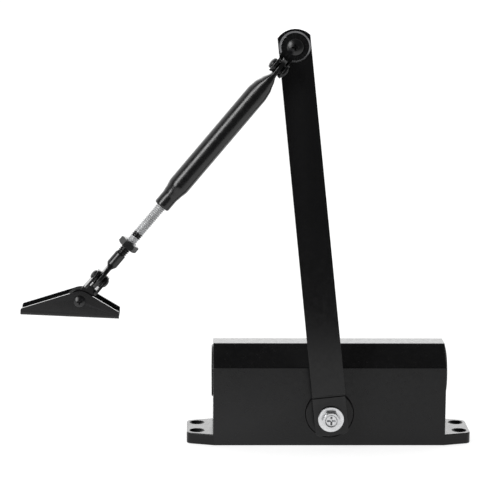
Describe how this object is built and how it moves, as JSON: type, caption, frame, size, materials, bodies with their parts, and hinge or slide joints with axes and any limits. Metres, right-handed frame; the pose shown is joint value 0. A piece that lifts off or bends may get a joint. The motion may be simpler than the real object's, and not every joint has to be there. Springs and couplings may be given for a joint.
{
  "type": "door closer",
  "caption": "Overhead hydraulic door closer: rack-and-pinion body with a flange at each end, and a two-piece scissor arm whose length adjusts, ending in a frame shoe.",
  "frame": {"origin": "centre of the body's mounting face, midway between its four screw holes", "axes": "+X along the body away from the frame shoe, -Y out of the side that carries the arm (the pinion axis is parallel to Y), +Z out of the door away from the mounting face"},
  "size_m": [0.2786, 0.0857, 0.2609],
  "materials": {
    "body_paint": "cast aluminium with satin black paint",
    "arm_paint": "satin black powder paint",
    "tube_paint": "semi-gloss black paint",
    "zinc": "bright zinc plate",
    "black_zinc": "black oxide",
    "steel": "ground and oiled steel",
    "spring_steel": "shot-peened spring steel",
    "seal_rubber": "nitrile rubber",
    "cap_plastic": "moulded black plastic"
  },
  "bodies": {
    "body": {"housing": "body_paint", "left_end_plug": "body_paint", "right_end_plug": "body_paint", "left_plug_seal": "seal_rubber", "right_plug_seal": "seal_rubber", "front_pinion_bearing": "steel", "rear_pinion_bearing": "steel", "front_bearing_ring": "body_paint", "rear_bearing_ring": "body_paint", "front_shaft_seal": "seal_rubber", "rear_shaft_seal": "seal_rubber", "rear_shaft_cap": "cap_plastic", "closing_spring": "spring_steel"},
    "arm": {"pinion": "steel", "main_arm": "arm_paint", "arm_washer": "zinc", "arm_bolt": "zinc", "elbow_screw": "black_zinc"},
    "piston": {"piston": "steel", "check_valve_retainer": "steel"},
    "check_ball": {"check_ball": "steel"},
    "closing_valve": {"closing_valve_screw": "zinc"},
    "latching_valve": {"latching_valve_screw": "zinc"},
    "elbow": {"elbow_fork": "arm_paint", "elbow_rivet": "black_zinc"},
    "forearm": {"forearm_tube": "tube_paint"},
    "rod": {"adjusting_rod": "zinc"},
    "nut": {"lock_nut": "tube_paint"},
    "shoe_swivel": {"shoe_fork": "arm_paint", "shoe_rivet": "black_zinc"},
    "shoe": {"shoe_bracket": "arm_paint", "shoe_pin": "black_zinc", "shoe_spacer": "black_zinc"}
  },
  "joints": [
    {"name": "pinion_turn", "type": "hinge", "parent": "body", "child": "arm", "pos_m": [0, 0, 0.0205], "axis": [0, -1, 0], "range_deg": [0, 170], "stiffness_Nm_per_rad": 4.85, "springref_deg": -76.2},
    {"name": "piston_slide", "type": "slide", "parent": "body", "child": "piston", "axis": [-1, 0, 0], "range_m": [0, 0.0268], "deforming": ["closing_spring"]},
    {"name": "check_ball_lift", "type": "slide", "parent": "piston", "child": "check_ball", "axis": [1, 0, 0], "range_m": [0, 0.0008]},
    {"name": "closing_valve_turn", "type": "hinge", "parent": "body", "child": "closing_valve", "pos_m": [0.0725, -0.009, 0.015], "axis": [1, 0, 0], "range_deg": [-180, 180]},
    {"name": "latching_valve_turn", "type": "hinge", "parent": "body", "child": "latching_valve", "pos_m": [0.0725, 0.009, 0.015], "axis": [1, 0, 0], "range_deg": [-180, 180]},
    {"name": "elbow_pivot", "type": "hinge", "parent": "arm", "child": "elbow", "pos_m": [-0.02497, -0.0391, 0.25035], "axis": [0, -1, 0], "range_deg": [-125, 28]},
    {"name": "elbow_tilt", "type": "hinge", "parent": "elbow", "child": "forearm", "pos_m": [-0.03485, -0.046, 0.23853], "axis": [-0.7673, 0, 0.6413], "range_deg": [-3, 12]},
    {"name": "rod_extension", "type": "slide", "parent": "forearm", "child": "rod", "axis": [-0.6413, 0, -0.7673], "range_m": [-0.025, 0.025]},
    {"name": "lock_nut_travel", "type": "slide", "parent": "rod", "child": "nut", "axis": [0.6413, 0, 0.7673], "range_m": [-0.004, 0.025]},
    {"name": "shoe_tilt", "type": "hinge", "parent": "rod", "child": "shoe_swivel", "pos_m": [-0.1413, -0.046, 0.11116], "axis": [-0.7673, 0, 0.6413], "range_deg": [-12, 12]},
    {"name": "shoe_pivot", "type": "hinge", "parent": "shoe_swivel", "child": "shoe", "pos_m": [-0.1538, -0.0391, 0.0962], "axis": [0, -1, 0], "range_deg": [-72, 12]}
  ],
  "couplings": [
    {"joint": "piston_slide", "follows": "pinion_turn", "m_per_rad": 0.009}
  ]
}
